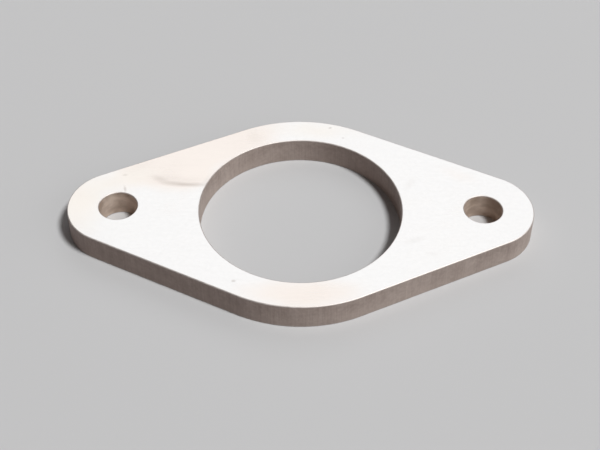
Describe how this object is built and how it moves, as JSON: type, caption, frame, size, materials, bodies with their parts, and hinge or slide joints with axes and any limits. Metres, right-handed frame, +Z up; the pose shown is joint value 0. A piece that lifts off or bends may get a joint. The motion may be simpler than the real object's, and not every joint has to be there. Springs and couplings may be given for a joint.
{
  "type": "two-bolt pipe flange",
  "caption": "Flat diamond-shaped steel flange with rounded ends, a large pipe bore in the middle and a bolt hole in each end, laser cut from plate.",
  "frame": {"origin": "centre of the pipe bore on the lower face", "axes": "+X along the line through the bolt holes, +Y across the plate, +Z up along the pipe bore"},
  "size_m": [0.1334, 0.076, 0.008],
  "materials": {
    "steel_plate": "bright satin rolled faces with darker, finely ribbed laser-cut walls and a thin broken edge"
  },
  "bodies": {
    "root": {"flange": "steel_plate"}
  },
  "joints": []
}
